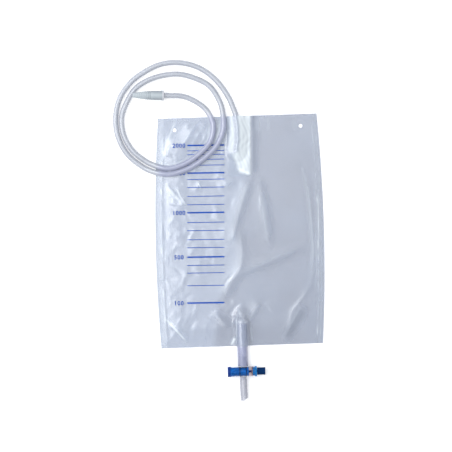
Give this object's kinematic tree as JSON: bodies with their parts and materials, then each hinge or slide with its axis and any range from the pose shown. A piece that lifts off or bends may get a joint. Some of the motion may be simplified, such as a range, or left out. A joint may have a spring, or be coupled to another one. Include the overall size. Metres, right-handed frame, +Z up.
{
  "type": "urine drainage bag",
  "caption": "Flat clear film bag with a printed volume scale, a coiled inlet tube with a tapered connector, and a push-pull drain valve.",
  "frame": {"origin": "on the floor, under the middle of the footprint of bag and valve (the inlet tube and its connector left out)", "axes": "+Y from the drain valve to the hanging edge, +Z up out of the front film, +X to the valve's knob side"},
  "size_m": [0.2917, 0.469, 0.0158],
  "materials": {
    "film": "clear soft film, slightly blue and hazy",
    "sleeve_film": "thin clear film, a little milky",
    "soft_tube": "clear soft tube, faintly green",
    "connector_plastic": "translucent grey-green moulding",
    "outlet_tube_plastic": "clear soft tube, faintly violet",
    "clear_housing": "clear rigid moulding, polished",
    "blue_plastic": "deep blue moulding",
    "bright_blue_plastic": "blue moulding",
    "navy_plastic": "very dark blue moulding",
    "seal_rubber": "matt dark blue rubber",
    "scale_ink": "flat blue ink"
  },
  "bodies": {
    "bag": {"back_film": "film", "front_film": "film", "sleeve_back": "sleeve_film", "sleeve_front": "sleeve_film", "inlet_tube": "soft_tube", "tube_connector": "connector_plastic", "outlet_tube": "outlet_tube_plastic", "valve_housing": "clear_housing", "valve_bush": "bright_blue_plastic", "rod_seal": "seal_rubber", "drain_tip": "soft_tube", "scale_0100": "scale_ink", "scale_0200": "scale_ink", "scale_0300": "scale_ink", "scale_0400": "scale_ink", "scale_0500": "scale_ink", "scale_0600": "scale_ink", "scale_0700": "scale_ink", "scale_0800": "scale_ink", "scale_0900": "scale_ink", "scale_1000": "scale_ink", "scale_1100": "scale_ink", "scale_1200": "scale_ink", "scale_1300": "scale_ink", "scale_1400": "scale_ink", "scale_1500": "scale_ink", "scale_1600": "scale_ink", "scale_1700": "scale_ink", "scale_1800": "scale_ink", "scale_1900": "scale_ink", "scale_2000": "scale_ink"},
    "plunger": {"valve_plunger": "blue_plastic", "plunger_knob": "navy_plastic", "piston_seal_left": "seal_rubber", "piston_seal_right": "seal_rubber"}
  },
  "joints": [
    {"name": "valve_slide", "type": "slide", "parent": "bag", "child": "plunger", "axis": [-0.9995, -0.0314, 0], "range_m": [0, 0.0105]}
  ]
}
